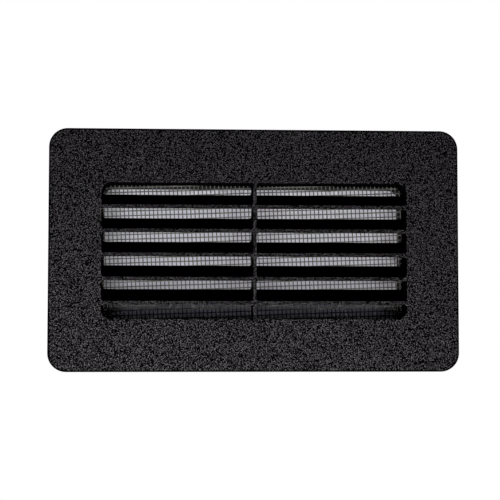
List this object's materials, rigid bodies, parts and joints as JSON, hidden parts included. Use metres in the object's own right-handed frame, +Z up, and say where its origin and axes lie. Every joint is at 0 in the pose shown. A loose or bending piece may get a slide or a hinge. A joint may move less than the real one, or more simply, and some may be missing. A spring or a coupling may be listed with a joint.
{
  "type": "ventilation grille",
  "caption": "Flat wall ventilation grille with a grained face, fixed slanted louvre blades, a rear collar and an insect screen.",
  "frame": {"origin": "centre of the whole part's box: 0.3 mm above the louvre window's axis, halfway between the face's front and the collar's rear end", "axes": "+X is the width, +Z is up, and +Y runs from the face to the collar, into the wall"},
  "size_m": [0.154, 0.0258, 0.091],
  "materials": {
    "grained_plastic": "fine moulded sand grain on the face, smoother inside",
    "screen_wire": "coated wire, satin",
    "black_plastic": "plain moulded, satin"
  },
  "bodies": {
    "root": {"grille_body": "grained_plastic", "insect_screen": "screen_wire", "screen_retainer": "black_plastic"}
  },
  "joints": []
}
